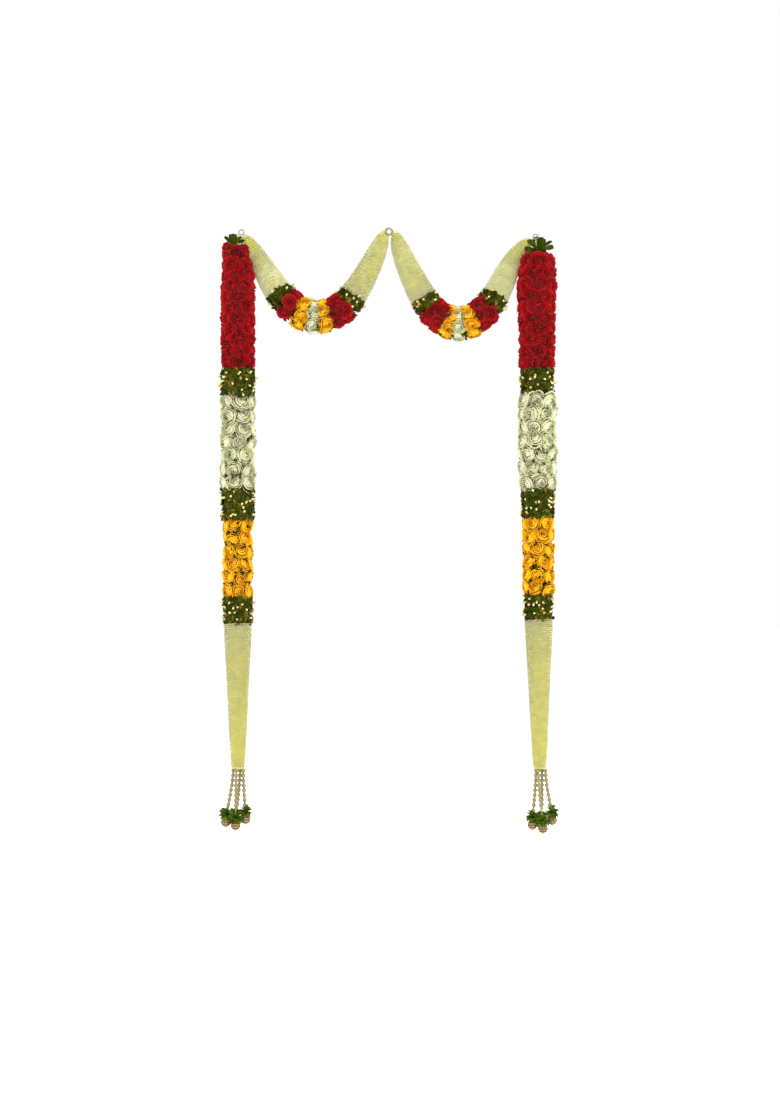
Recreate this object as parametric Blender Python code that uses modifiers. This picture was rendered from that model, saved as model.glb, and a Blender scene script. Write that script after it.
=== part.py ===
"""A door garland: two tall strings of threaded flowers joined across the top by two swags.

Everything is strung on cord. Each string carries a leaf tuft, a band of red roses, one of
white roses and one of yellow roses with leaf collars between them, then a long taper of
cream tuberose buds, and ends in a tassel of four pearl strands with filigree balls.
Each swag runs from a corner to the middle: tuberose tube, leaf collar, red, yellow and
white roses, and the same again in reverse. Three rings of pearls take the nails.

Metres, +Z up, +X to the right, the viewer at -Y. The origin is where the nail bears
inside the middle ring.
"""

import math

import bmesh
import bpy
from mathutils import Vector

# Cord and clearances
GAP = 0.0003
SWAG_GAP = 0.0005
CORD_RADIUS = 0.0015
BORE_RADIUS = 0.0035
KNOT_RADIUS = 0.0045
SWAG_KNOT_RADIUS = 0.0038

# Pearl rings: radius of the circle of pearls, radius of a pearl, place of the centre
MIDDLE_RING = {"radius": 0.011, "pearl": 0.004, "centre": (0.0, 0.0, -0.007)}
LEFT_RING = {"radius": 0.0085, "pearl": 0.003, "centre": (-0.4875, 0.0, -0.0095)}
RIGHT_RING = {"radius": 0.0085, "pearl": 0.003, "centre": (0.4840, 0.0, -0.0235)}
RING_PEARLS = 10
RING_WAIST = 0.8

# The two strings, from the tuft down. A band is (name, bottom, girth at even steps).
# The swag leans on the top of each string and pushes it outwards.
LEFT_STRING = {
    "x": -0.499,
    "lean": 0.0,
    "tuft_top": -0.020,
    "tuft_radius": 0.032,
    "tuft_tilt": 0.35,
    "push": -0.011,
    "top": -0.048,
    "bands": (
        ("red_rose_band", -0.464, (0.036, 0.050, 0.056, 0.057, 0.056, 0.056, 0.056, 0.056)),
        ("upper_leaf_collar", -0.550, (0.058, 0.058)),
        ("white_rose_band", -0.857, (0.056, 0.056)),
        ("middle_leaf_collar", -0.956, (0.057, 0.055)),
        ("yellow_rose_band", -1.216, (0.049, 0.049)),
        ("lower_leaf_collar", -1.299, (0.051, 0.049)),
    ),
    "taper_end": -1.777,
    "cap_top": -1.905,
    "balls": (
        (-0.040, 0.001, -1.956),
        (-0.007, -0.015, -1.966),
        (-0.009, 0.021, -1.960),
        (0.026, 0.000, -1.947),
    ),
}
RIGHT_STRING = {
    "x": 0.4835,
    "lean": math.radians(-0.55),
    "tuft_top": -0.026,
    "tuft_radius": 0.048,
    "tuft_tilt": 0.0,
    "push": 0.011,
    "top": -0.067,
    "bands": (
        ("red_rose_band", -0.464, (0.042, 0.060, 0.067, 0.065, 0.061, 0.060, 0.060, 0.060)),
        ("upper_leaf_collar", -0.543, (0.062, 0.062)),
        ("white_rose_band", -0.857, (0.060, 0.060)),
        ("middle_leaf_collar", -0.949, (0.058, 0.057)),
        ("yellow_rose_band", -1.2065, (0.052, 0.052)),
        ("lower_leaf_collar", -1.287, (0.051, 0.050)),
    ),
    "taper_end": -1.777,
    "cap_top": -1.917,
    "balls": (
        (-0.029, 0.001, -1.965),
        (0.005, -0.015, -1.976),
        (0.003, 0.021, -1.970),
        (0.0365, 0.000, -1.950),
    ),
}
TAPER_GIRTH = (0.0470, 0.0435, 0.0385, 0.0345, 0.0312, 0.0270, 0.0228)
PUSH_REACH = 0.090

# How a band of each kind is lumped: length of a row, flowers around, depth of the lumps
ROSE_ROWS = {
    "red": {"row": 0.040, "around": 6, "depth": 0.007, "finish": "red rose petals"},
    "white": {"row": 0.042, "around": 7, "depth": 0.007, "finish": "white rose petals"},
    "yellow": {"row": 0.040, "around": 6, "depth": 0.007, "finish": "yellow rose petals"},
    "leaf": {"row": 0.022, "around": 9, "depth": 0.009, "finish": "green leaves"},
}
ROW_SEAM = 0.6
FLOWER_SEAM = 0.8
TUBE_ROW = 0.060
TUBE_SIDES = 14
TUFT_LEAVES = 7
TUFT_FLATNESS = 0.65
TUFT_FOOT_RADIUS = 0.012
TUFT_BORE_RADIUS = 0.005

# A leaf in a crown, as shares of its tip's radius and height, and the cleft between two
LEAF_BACK = (0.62, 0.40)
LEAF_FRONT = (0.50, 0.62)
LEAF_FOOT = 0.30
CLEFT_RADIUS = 0.80
CLEFT_HEIGHT = 0.62

# Tassel under each string: strand tops and ball centres, from the string's axis
KNOT_DISC_RADIUS = 0.015
KNOT_DISC_THICKNESS = 0.004
PEARL_RADIUS = 0.0063
PEARL_PITCH = 0.0158
PEARLS_IN_STRAND = 8
END_PEARL_RADIUS = 0.0045
PEARL_FLAT = (0.30, 0.70)
THREAD_RADIUS = 0.0012
PEARL_HOLE_RADIUS = 0.0019
BALL_RADIUS = 0.0165
BALL_KNOB_RADIUS = 0.0035
BALL_NECK_RADIUS = 0.0018
BALL_NECK = 0.0021
CAP_BORE_RADIUS = 0.0031
CAP_FOOT_RADIUS = 0.0080
CAP_TIP_RADIUS = 0.0200
CAP_LEAVES = 6
CAP_TURN = math.radians(32)
STRAND_TOPS = ((-0.0128, 0.002), (-0.004, -0.0118), (0.007, 0.0105), (0.0152, -0.003))

# Swags: where the cord runs between its two knots, and what is threaded on it, in order
LEFT_SWAG = {
    "route": (
        (-0.481, 0.032, -0.020),
        (-0.458, 0.044, -0.055),
        (-0.434, 0.049, -0.094),
        (-0.404, 0.040, -0.144),
        (-0.376, 0.019, -0.190),
        (-0.346, 0.004, -0.230),
        (-0.310, 0.000, -0.263),
        (-0.280, 0.000, -0.280),
        (-0.251, 0.000, -0.289),
        (-0.211, 0.000, -0.286),
        (-0.178, 0.000, -0.274),
        (-0.142, 0.000, -0.248),
        (-0.106, 0.000, -0.198),
        (-0.076, 0.000, -0.148),
        (-0.049, 0.002, -0.094),
        (-0.028, 0.011, -0.045),
        (-0.0145, 0.020, -0.008),
    ),
    "lengths": (0.231, 0.032, 0.055, 0.039, 0.031, 0.036, 0.075, 0.033),
}
RIGHT_SWAG = {
    "route": (
        (0.0200, 0.025, -0.008),
        (0.0315, 0.023, -0.045),
        (0.052, 0.010, -0.101),
        (0.079, 0.000, -0.160),
        (0.111, 0.000, -0.220),
        (0.150, 0.000, -0.276),
        (0.188, 0.000, -0.302),
        (0.233, 0.000, -0.311),
        (0.282, 0.000, -0.296),
        (0.318, 0.000, -0.266),
        (0.348, 0.006, -0.225),
        (0.374, 0.024, -0.174),
        (0.398, 0.042, -0.124),
        (0.424, 0.047, -0.080),
        (0.446, 0.045, -0.052),
        (0.464, 0.037, -0.033),
    ),
    "lengths": (0.238, 0.038, 0.073, 0.029, 0.032, 0.032, 0.071, 0.036),
}
SWAG_GIRTH = {"leaf": 0.050, "red": 0.053, "yellow": 0.056, "white": 0.057}
TUBE_GIRTH_AT_NOSE = 0.0295
TUBE_GIRTH_GROWTH = 0.075
NOSE_ROUNDING = (0.018, 0.032)
SWAG_ORDER = (
    ("outer_tuberose_tube", "tube"),
    ("outer_leaf_collar", "leaf"),
    ("outer_red_rose_band", "red"),
    ("outer_yellow_rose_band", "yellow"),
    ("white_rose_band", "white"),
    ("inner_yellow_rose_band", "yellow"),
    ("inner_red_rose_band", "red"),
    ("inner_leaf_collar", "leaf"),
    ("inner_tuberose_tube", "tube"),
)
SWAG_CORD_STEP = 0.026
KNOT_SHOULDER = 0.7
KNOT_BEHIND_RING = 0.0034
KNOT_NECK = 1.6
GUIDE_STEP = 0.004

FINISHES = {
    "red rose petals": ((0.37, 0.007, 0.012), 0.55, 0.0),
    "white rose petals": ((0.72, 0.72, 0.43), 0.55, 0.0),
    "yellow rose petals": ((1.0, 0.43, 0.008), 0.55, 0.0),
    "green leaves": ((0.045, 0.10, 0.008), 0.5, 0.0),
    "tuberose buds": ((0.69, 0.64, 0.30), 0.6, 0.0),
    "garland cord": ((0.35, 0.30, 0.18), 0.85, 0.0),
    "pearl beads": ((0.69, 0.62, 0.35), 0.25, 0.0),
    "silver pearl beads": ((0.52, 0.50, 0.45), 0.25, 0.0),
    "gilt filigree": ((0.48, 0.29, 0.14), 0.35, 1.0),
}


def clear_scene():
    """Remove what the file opened with, and its collections."""
    for old in list(bpy.data.objects):
        bpy.data.objects.remove(old, do_unlink=True)
    for old in list(bpy.data.collections):
        bpy.data.collections.remove(old)


def new_collection(name):
    collection = bpy.data.collections.new(name)
    bpy.context.scene.collection.children.link(collection)
    return collection


def new_material(name, colour, roughness, metallic):
    material = bpy.data.materials.new(name)
    material.use_nodes = True
    shader = material.node_tree.nodes["Principled BSDF"]
    shader.inputs["Base Color"].default_value = (*colour, 1.0)
    shader.inputs["Roughness"].default_value = roughness
    shader.inputs["Metallic"].default_value = metallic
    return material


clear_scene()
GARLAND = new_collection("door_garland")
CUTTERS = new_collection("cutters")
MATERIALS = {name: new_material(name, *values) for name, values in FINISHES.items()}


def add_part(name, data, finish, parent=None):
    """Put a mesh or a curve into the garland as a named part of one finish."""
    part = bpy.data.objects.new(name, data)
    data.materials.append(MATERIALS[finish])
    GARLAND.objects.link(part)
    part.parent = parent
    return part


def make_guide(guide):
    """Keep an object as a guide or an operand, which is not a part."""
    for collection in guide.users_collection:
        collection.objects.unlink(guide)
    CUTTERS.objects.link(guide)
    guide.hide_render = True
    guide.display_type = "WIRE"


def mesh_from(bm, name):
    bmesh.ops.recalc_face_normals(bm, faces=bm.faces[:])
    mesh = bpy.data.meshes.new(name)
    bm.to_mesh(mesh)
    bm.free()
    mesh.shade_smooth()
    return mesh


def spin_profile(profile, sides):
    """Spin a closed outline of (radius, height) points about +Z."""
    bm = bmesh.new()
    verts = [bm.verts.new((radius, 0.0, height)) for radius, height in profile]
    edges = [bm.edges.new((a, b)) for a, b in zip(verts, verts[1:] + verts[:1])]
    bmesh.ops.spin(
        bm,
        geom=verts + edges,
        cent=(0, 0, 0),
        axis=(0, 0, 1),
        angle=math.tau,
        steps=sides,
        use_merge=True,
    )
    return bm


def blend_along(values, fraction):
    """The value at a fraction of the way along a row of evenly spaced values."""
    place = min(max(fraction, 0.0), 1.0) * (len(values) - 1)
    step = min(int(place), len(values) - 2)
    return values[step] + (values[step + 1] - values[step]) * (place - step)


def strung_mesh(name, start, length, girth_at, rows, around, depth, bore_steps=1, push=0.0):
    """A band threaded on the +Z cord: one lump for each flower, and a bore down the middle.

    girth_at gives the radius at a distance from the band's own start, and push moves the
    flowers at its start aside.
    """
    sides = around * 2
    outer = []
    for ring in range(rows * 2 + 1):
        along = length * ring / (rows * 2)
        outer.append((girth_at(along), start + along))
    bore = []
    for ring in range(bore_steps, -1, -1):
        bore.append((BORE_RADIUS, start + length * ring / bore_steps))
    bm = spin_profile(outer + bore, sides)
    for vert in bm.verts:
        radius = math.hypot(vert.co.x, vert.co.y)
        if radius < BORE_RADIUS * 1.1:
            continue
        ring = round((vert.co.z - start) / length * rows * 2)
        spoke = round(math.atan2(vert.co.y, vert.co.x) / math.tau * sides)
        if ring % 2 == 0:
            sunk = ROW_SEAM * depth
        elif (spoke + ring // 2) % 2:
            sunk = FLOWER_SEAM * depth
        else:
            sunk = 0.0
        scale = (radius - sunk) / radius
        pushed = max(0.0, 1.0 - (vert.co.z - start) / PUSH_REACH)
        vert.co.x = vert.co.x * scale + push * pushed
        vert.co.y *= scale
    return mesh_from(bm, name)


def tube_mesh(name, start, length, girth_at, bore_steps):
    """A plain threaded tube of buds, with a bore."""
    steps = max(4, round(length / TUBE_ROW * 2))
    outer = []
    for ring in range(steps + 1):
        along = length * ring / steps
        outer.append((girth_at(along), start + along))
    bore = []
    for ring in range(bore_steps, -1, -1):
        bore.append((BORE_RADIUS, start + length * ring / bore_steps))
    return mesh_from(spin_profile(outer + bore, TUBE_SIDES), name)


def crown_mesh(
    name, leaves, base_radius, tip_radius, height, bore, push=0.0, flat=1.0, tilt=0.0
):
    """A ring of leaves that stand up and outwards around a bore, one solid.

    push moves the tips aside, flat brings them nearer to the XZ plane, and tilt lowers
    the ones at +X.
    """
    profile = [
        (bore, 0.0),
        (base_radius, 0.0),
        (LEAF_BACK[0] * tip_radius, LEAF_BACK[1] * height),
        (tip_radius, height),
        (LEAF_FRONT[0] * tip_radius, LEAF_FRONT[1] * height),
        (bore, LEAF_FOOT * height),
    ]
    sides = leaves * 2
    bm = spin_profile(profile, sides)
    for vert in bm.verts:
        radius = math.hypot(vert.co.x, vert.co.y)
        spoke = round(math.atan2(vert.co.y, vert.co.x) / math.tau * sides)
        if radius < base_radius * 1.01:
            continue
        vert.co.z *= 1.0 - tilt * vert.co.x / tip_radius
        vert.co.x += push * vert.co.z / height
        vert.co.y *= flat
        if spoke % 2:
            vert.co.x *= CLEFT_RADIUS
            vert.co.y *= CLEFT_RADIUS
            vert.co.z *= CLEFT_HEIGHT
    return mesh_from(bm, name)


def turned_part(name, profile, sides, finish, parent=None):
    """A solid turned about Z from a profile that runs down its outer side."""
    mesh = bpy.data.meshes.new(name)
    edges = [(i, i + 1) for i in range(len(profile) - 1)]
    mesh.from_pydata([(radius, 0.0, height) for radius, height in profile], edges, [])
    part = add_part(name, mesh, finish, parent)
    screw = part.modifiers.new("turn", "SCREW")
    screw.axis = "Z"
    screw.angle = math.tau
    screw.steps = sides
    screw.render_steps = sides
    screw.use_merge_vertices = True
    screw.merge_threshold = 0.00001
    screw.use_smooth_shade = True
    return part


def ball_profile(centre, radius, steps):
    """Points down the side of a ball, without the two poles."""
    points = []
    for step in range(1, steps):
        angle = math.pi * step / steps
        points.append((radius * math.sin(angle), centre + radius * math.cos(angle)))
    return points


def pearl_ring(name, ring, finish):
    """A closed ring of pearls that stands in the XZ plane."""
    bpy.ops.mesh.primitive_torus_add(
        major_radius=ring["radius"],
        minor_radius=ring["pearl"],
        major_segments=RING_PEARLS * 2,
        minor_segments=6,
    )
    part = bpy.context.object
    part.name = name
    for vert in part.data.vertices:
        angle = math.atan2(vert.co.y, vert.co.x)
        middle = Vector((math.cos(angle), math.sin(angle), 0.0)) * ring["radius"]
        between_pearls = round(angle / math.tau * RING_PEARLS * 2) % 2
        if between_pearls:
            vert.co = middle + (vert.co - middle) * RING_WAIST
    part.data.materials.append(MATERIALS[finish])
    part.data.shade_smooth()
    part.location = ring["centre"]
    part.rotation_euler = (math.pi / 2, 0.0, 0.0)
    for collection in part.users_collection:
        collection.objects.unlink(part)
    GARLAND.objects.link(part)


def ring_reach(ring):
    """How far a knot's centre lies from the middle of the ring that it is tied to."""
    return ring["radius"] + ring["pearl"] + GAP + KNOT_RADIUS


# Strings ------------------------------------------------------------------------------


def hang(part, top):
    """Turn a part that was strung along +Z so that it hangs down from its top."""
    part.location = (0.0, 0.0, top)
    part.rotation_euler = (math.pi, 0.0, 0.0)


def string_cord(side, string, ring, frame):
    """The cord of a string: a knot under the ring, and a disc of thread under the taper."""
    aside = ring["centre"][0] - string["x"]
    knot = ring["centre"][2] - math.sqrt(ring_reach(ring) ** 2 - aside**2)
    disc_top = string["taper_end"] - GAP
    disc_bottom = disc_top - KNOT_DISC_THICKNESS
    profile = [(0.0, knot + KNOT_RADIUS)]
    profile += ball_profile(knot, KNOT_RADIUS, 5)
    profile += [
        (CORD_RADIUS, knot - KNOT_RADIUS - CORD_RADIUS),
        (CORD_RADIUS, disc_top),
        (KNOT_DISC_RADIUS, disc_top),
        (KNOT_DISC_RADIUS, disc_bottom),
        (0.0, disc_bottom),
    ]
    turned_part(f"{side}_string_cord", profile, 10, "garland cord", frame)
    return disc_bottom


def leaf_tuft(side, string, frame):
    bottom = string["top"] + GAP
    mesh = crown_mesh(
        f"{side}_top_leaf_tuft",
        TUFT_LEAVES,
        base_radius=TUFT_FOOT_RADIUS,
        tip_radius=string["tuft_radius"],
        height=string["tuft_top"] - bottom,
        bore=TUFT_BORE_RADIUS,
        push=string["push"],
        flat=TUFT_FLATNESS,
        tilt=string["tuft_tilt"],
    )
    part = add_part(mesh.name, mesh, "green leaves", frame)
    part.location = (0.0, 0.0, bottom)


def flower_bands(side, string, frame):
    top = string["top"]
    for name, bottom, girth in string["bands"]:
        kind = ROSE_ROWS[name.split("_")[0] if "rose" in name else "leaf"]
        length = top - bottom - GAP

        def girth_at(along, girth=girth, length=length):
            return blend_along(girth, along / length)

        rows = round(length / kind["row"])
        push = string["push"] if top == string["top"] else 0.0
        mesh = strung_mesh(
            f"{side}_{name}",
            0.0,
            length,
            girth_at,
            rows,
            kind["around"],
            kind["depth"],
            push=push,
        )
        part = add_part(mesh.name, mesh, kind["finish"], frame)
        hang(part, top)
        top = bottom


def tuberose_taper(side, string, frame):
    top = string["bands"][-1][1]
    length = top - string["taper_end"]

    def girth_at(along):
        return blend_along(TAPER_GIRTH, along / length)

    mesh = tube_mesh(f"{side}_tuberose_taper", 0.0, length, girth_at, 1)
    part = add_part(mesh.name, mesh, "tuberose buds", frame)
    hang(part, top)


def pearl_strand(name, top, foot, frame):
    """A strand of pearls that ends in a small one and a thread, from its top to its foot."""
    profile = [(0.0, 0.0)]
    for pearl in range(PEARLS_IN_STRAND):
        start = -pearl * PEARL_PITCH
        profile.append((PEARL_HOLE_RADIUS, start))
        profile.append((PEARL_RADIUS, start - PEARL_FLAT[0] * PEARL_PITCH))
        profile.append((PEARL_RADIUS, start - PEARL_FLAT[1] * PEARL_PITCH))
    end = -PEARLS_IN_STRAND * PEARL_PITCH
    profile.append((PEARL_HOLE_RADIUS, end))
    profile += ball_profile(end - END_PEARL_RADIUS, END_PEARL_RADIUS, 3)
    reach = (Vector(top) - Vector(foot)).length
    profile.append((THREAD_RADIUS, end - 2 * END_PEARL_RADIUS))
    profile.append((THREAD_RADIUS, GAP - reach))
    profile.append((0.0, GAP - reach))
    strand = turned_part(name, profile, 6, "pearl beads", frame)
    strand.location = top
    downwards = Vector(foot) - Vector(top)
    strand.rotation_euler = downwards.to_track_quat("-Z", "Y").to_euler()


def filigree_ball(name, centre, frame):
    knob = -BALL_RADIUS - BALL_NECK
    profile = [(0.0, BALL_RADIUS)]
    profile += ball_profile(0.0, BALL_RADIUS, 8)
    profile[-1] = (BALL_NECK_RADIUS, -BALL_RADIUS)
    profile += [
        (BALL_KNOB_RADIUS, knob),
        (0.0, knob - BALL_KNOB_RADIUS),
    ]
    ball = turned_part(name, profile, 10, "gilt filigree", frame)
    ball.location = centre


def tassel(side, string, strands_top, frame):
    """Four pearl strands, each through a leaf cap to a ball. The caps touch and are one."""
    caps = []
    for number, (top, ball) in enumerate(zip(STRAND_TOPS, string["balls"]), start=1):
        top = (*top, strands_top - 2 * GAP)
        crest = (ball[0], ball[1], ball[2] + BALL_RADIUS + GAP)
        pearl_strand(f"{side}_pearl_strand_{number}", top, crest, frame)
        filigree_ball(f"{side}_filigree_ball_{number}", ball, frame)
        mesh = crown_mesh(
            f"{side}_leaf_cap_{number}",
            CAP_LEAVES,
            base_radius=CAP_FOOT_RADIUS,
            tip_radius=CAP_TIP_RADIUS,
            height=string["cap_top"] - crest[2],
            bore=CAP_BORE_RADIUS,
        )
        cap = add_part(mesh.name, mesh, "green leaves", frame)
        cap.location = (crest[0], crest[1], crest[2] + GAP)
        cap.rotation_euler = (0.0, 0.0, CAP_TURN)
        caps.append(cap)
    cluster = caps[0]
    cluster.name = f"{side}_leaf_cap_cluster"
    for cap in caps[1:]:
        join = cluster.modifiers.new(cap.name, "BOOLEAN")
        join.operation = "UNION"
        join.solver = "EXACT"
        join.object = cap
        make_guide(cap)


def flower_string(side, string, ring):
    frame = bpy.data.objects.new(f"{side}_string", None)
    GARLAND.objects.link(frame)
    frame.location = (string["x"], 0.0, 0.0)
    frame.rotation_euler = (0.0, string["lean"], 0.0)
    strands_top = string_cord(side, string, ring, frame)
    leaf_tuft(side, string, frame)
    flower_bands(side, string, frame)
    tuberose_taper(side, string, frame)
    tassel(side, string, strands_top, frame)


# Swags --------------------------------------------------------------------------------


def smooth_route(points, step):
    """Points about a step apart on a smooth curve through the given ones."""
    spots = [Vector(point) for point in points]
    spots = [2 * spots[0] - spots[1], *spots, 2 * spots[-1] - spots[-2]]
    route = []
    for before, here, there, after in zip(spots, spots[1:], spots[2:], spots[3:]):
        pieces = max(1, round((there - here).length / step))
        for piece in range(pieces):
            t = piece / pieces
            route.append(
                0.5
                * (
                    2 * here
                    + (there - before) * t
                    + (2 * before - 5 * here + 4 * there - after) * t**2
                    + (3 * here - 3 * there + after - before) * t**3
                )
            )
    route.append(spots[-2])
    return route


def route_curve(name, points, radii=None):
    curve = bpy.data.curves.new(name, "CURVE")
    curve.dimensions = "3D"
    spline = curve.splines.new("POLY")
    spline.points.add(len(points) - 1)
    for index, (spot, point) in enumerate(zip(spline.points, points)):
        spot.co = (*point, 1.0)
        spot.radius = radii[index] if radii else 1.0
    return curve


def route_length(points):
    return sum((b - a).length for a, b in zip(points, points[1:]))


def knot_behind(ring, degrees):
    """The centre of a knot tied against the back of a ring, at an angle around it."""
    angle = math.radians(degrees)
    outwards = Vector((math.cos(angle), 0.0, math.sin(angle))) * ring["radius"]
    backwards = Vector((0.0, ring["pearl"] + KNOT_BEHIND_RING, 0.0))
    return Vector(ring["centre"]) + outwards + backwards


def swag_cord(side, start_knot, route, end_knot):
    """The cord of a swag, thickened into a knot at each end."""
    points = [start_knot, *smooth_route(route, SWAG_CORD_STEP), end_knot]
    first = (points[1] - points[0]).normalized() * SWAG_KNOT_RADIUS
    last = (points[-2] - points[-1]).normalized() * SWAG_KNOT_RADIUS
    points[1:1] = [points[0] + KNOT_SHOULDER * first, points[0] + KNOT_NECK * first]
    points[-1:-1] = [points[-1] + KNOT_NECK * last, points[-1] + KNOT_SHOULDER * last]
    points[0] = points[0] - KNOT_SHOULDER * first
    points[-1] = points[-1] - KNOT_SHOULDER * last
    knot = SWAG_KNOT_RADIUS / CORD_RADIUS
    radii = [knot, knot] + [1.0] * (len(points) - 4) + [knot, knot]
    curve = route_curve(f"{side}_swag_cord", points, radii)
    curve.bevel_depth = CORD_RADIUS
    curve.bevel_resolution = 2
    curve.use_fill_caps = True
    add_part(curve.name, curve, "garland cord")


def swag(side, plan, order, start_knot, end_knot):
    """A swag from its start knot to its end knot, with its flowers in that order."""
    swag_cord(side, start_knot, plan["route"], end_knot)
    route = smooth_route(plan["route"], GUIDE_STEP)
    guide_curve = route_curve(f"{side}_swag_route", route)
    guide_curve.use_deform_bounds = False
    guide = bpy.data.objects.new(guide_curve.name, guide_curve)
    GARLAND.objects.link(guide)
    make_guide(guide)
    whole = route_length(route)
    lengths = [*plan["lengths"], whole - sum(plan["lengths"])]
    start = 0.0
    for (label, kind), length in zip(order, lengths):
        name = f"{side}_swag_{label}"
        solid = length - SWAG_GAP
        if kind == "tube":

            def girth_at(along, start=start):
                from_nose = min(start + along, whole - start - along)
                rounding, reach = NOSE_ROUNDING
                nose = 1.0 - math.exp(-(from_nose + rounding) / reach)
                return (TUBE_GIRTH_AT_NOSE + TUBE_GIRTH_GROWTH * from_nose) * nose

            mesh = tube_mesh(name, start, solid, girth_at, 6)
            finish = "tuberose buds"
        else:
            rose = ROSE_ROWS[kind]
            girth = SWAG_GIRTH[kind]

            def girth_at(along, girth=girth):
                return girth

            rows = max(1, round(solid / rose["row"]))
            mesh = strung_mesh(
                name, start, solid, girth_at, rows, rose["around"], rose["depth"], 3
            )
            finish = rose["finish"]
        part = add_part(name, mesh, finish)
        bend = part.modifiers.new("hang along the route", "CURVE")
        bend.object = guide
        bend.deform_axis = "POS_Z"
        start += length


pearl_ring("middle_hanging_ring", MIDDLE_RING, "pearl beads")
pearl_ring("left_hanging_ring", LEFT_RING, "silver pearl beads")
pearl_ring("right_hanging_ring", RIGHT_RING, "silver pearl beads")
flower_string("left", LEFT_STRING, LEFT_RING)
flower_string("right", RIGHT_STRING, RIGHT_RING)


swag(
    "left",
    LEFT_SWAG,
    SWAG_ORDER,
    knot_behind(LEFT_RING, -36),
    knot_behind(MIDDLE_RING, 150),
)
swag(
    "right",
    RIGHT_SWAG,
    SWAG_ORDER[::-1],
    knot_behind(MIDDLE_RING, 30),
    knot_behind(RIGHT_RING, -144),
)
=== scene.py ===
"""Looks of a door garland of threaded roses, tuberose, leaves and pearls."""

import math
import random
from functools import partial

import bmesh
import bpy
from mathutils import Matrix, Vector


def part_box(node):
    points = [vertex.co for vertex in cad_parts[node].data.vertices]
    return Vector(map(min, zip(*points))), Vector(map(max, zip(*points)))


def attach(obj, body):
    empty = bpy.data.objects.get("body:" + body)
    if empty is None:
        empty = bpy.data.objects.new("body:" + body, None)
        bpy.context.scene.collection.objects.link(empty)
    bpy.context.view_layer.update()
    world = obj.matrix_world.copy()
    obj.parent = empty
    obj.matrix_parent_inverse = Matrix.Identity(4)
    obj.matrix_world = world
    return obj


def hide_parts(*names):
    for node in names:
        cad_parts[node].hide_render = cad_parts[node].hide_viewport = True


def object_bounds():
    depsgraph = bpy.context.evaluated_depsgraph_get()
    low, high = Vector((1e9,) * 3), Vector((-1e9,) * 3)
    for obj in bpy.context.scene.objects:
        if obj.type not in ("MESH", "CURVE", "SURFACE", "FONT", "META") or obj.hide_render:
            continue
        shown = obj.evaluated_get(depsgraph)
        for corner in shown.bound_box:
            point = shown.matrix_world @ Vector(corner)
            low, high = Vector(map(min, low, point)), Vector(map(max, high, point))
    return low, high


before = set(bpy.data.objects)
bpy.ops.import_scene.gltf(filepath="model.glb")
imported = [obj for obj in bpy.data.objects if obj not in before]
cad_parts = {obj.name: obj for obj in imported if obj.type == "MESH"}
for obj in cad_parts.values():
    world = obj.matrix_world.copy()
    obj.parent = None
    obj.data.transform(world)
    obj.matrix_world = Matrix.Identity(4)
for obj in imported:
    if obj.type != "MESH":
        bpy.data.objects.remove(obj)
cad_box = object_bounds()


# Camera -------------------------------------------------------------------------------
# The garland hangs in a doorway and is looked at straight on, from ten metres away with
# a long lens, aimed half way down its strings.

lens = bpy.data.cameras.new("camera")
lens.lens = 100
lens.sensor_width = 36
camera = bpy.data.objects.new("camera", lens)
camera.location = (0.0033, -10.16, -1.0712)
camera.rotation_euler = (math.pi / 2, 0, 0)
bpy.context.collection.objects.link(camera)
bpy.context.scene.camera = camera


# Cotton cords -------------------------------------------------------------------------
# Everything is threaded on undyed cotton cord, three plies twisted right-handed. It shows
# only where it is knotted to the rings and where thread is wound under the long tapers.

MM = 0.001
CORD_RADIUS = 1.5 * MM
CORD_LAY = 6 * MM
THREAD_RADIUS = 0.9 * MM
WHIPPING_RADIUS = 15 * MM
STRING_KNOT = 4.5 * MM
SWAG_KNOT = 3.8 * MM
# Each swag's cord in mm: its knots on the two rings, and its route between them.
RING_KNOTS = {
    "left": ((-480.6, 6.4, -14.5), (-9.5, 7.4, -1.5)),
    "right": ((9.5, 7.4, -1.5), (477.1, 6.4, -28.5)),
}
SWAG_ROUTES = {
    "left": (
        (-481, 32, -20), (-458, 44, -55), (-434, 49, -94), (-404, 40, -144), (-376, 19, -190),
        (-346, 4, -230), (-310, 0, -263), (-280, 0, -280), (-251, 0, -289), (-211, 0, -286),
        (-178, 0, -274), (-142, 0, -248), (-106, 0, -198), (-76, 0, -148), (-49, 2, -94),
        (-28, 11, -45), (-14.5, 20, -8),
    ),
    "right": (
        (20, 25, -8), (31.5, 23, -45), (52, 10, -101), (79, 0, -160), (111, 0, -220),
        (150, 0, -276), (188, 0, -302), (233, 0, -311), (282, 0, -296), (318, 0, -266),
        (348, 6, -225), (374, 24, -174), (398, 42, -124), (424, 47, -80), (446, 45, -52),
        (464, 37, -33),
    ),
}


def mm(x, y, z):
    """A point or a step given in millimetres."""
    return Vector((x * MM, y * MM, z * MM))


def smooth_line(points, step):
    """Points about a step apart on a smooth curve through the given ones."""
    spots = [mm(*point) for point in points]
    spots = [2 * spots[0] - spots[1], *spots, 2 * spots[-1] - spots[-2]]
    line = []
    for before, here, there, after in zip(spots, spots[1:], spots[2:], spots[3:]):
        pieces = max(1, round((there - here).length / step))
        for piece in range(pieces):
            t = piece / pieces
            bend = 2 * before - 5 * here + 4 * there - after
            twist = 3 * here - 3 * there + after - before
            spot = 2 * here + (there - before) * t + bend * t**2 + twist * t**3
            line.append(spot / 2)
    line.append(spots[-2])
    return line


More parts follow.
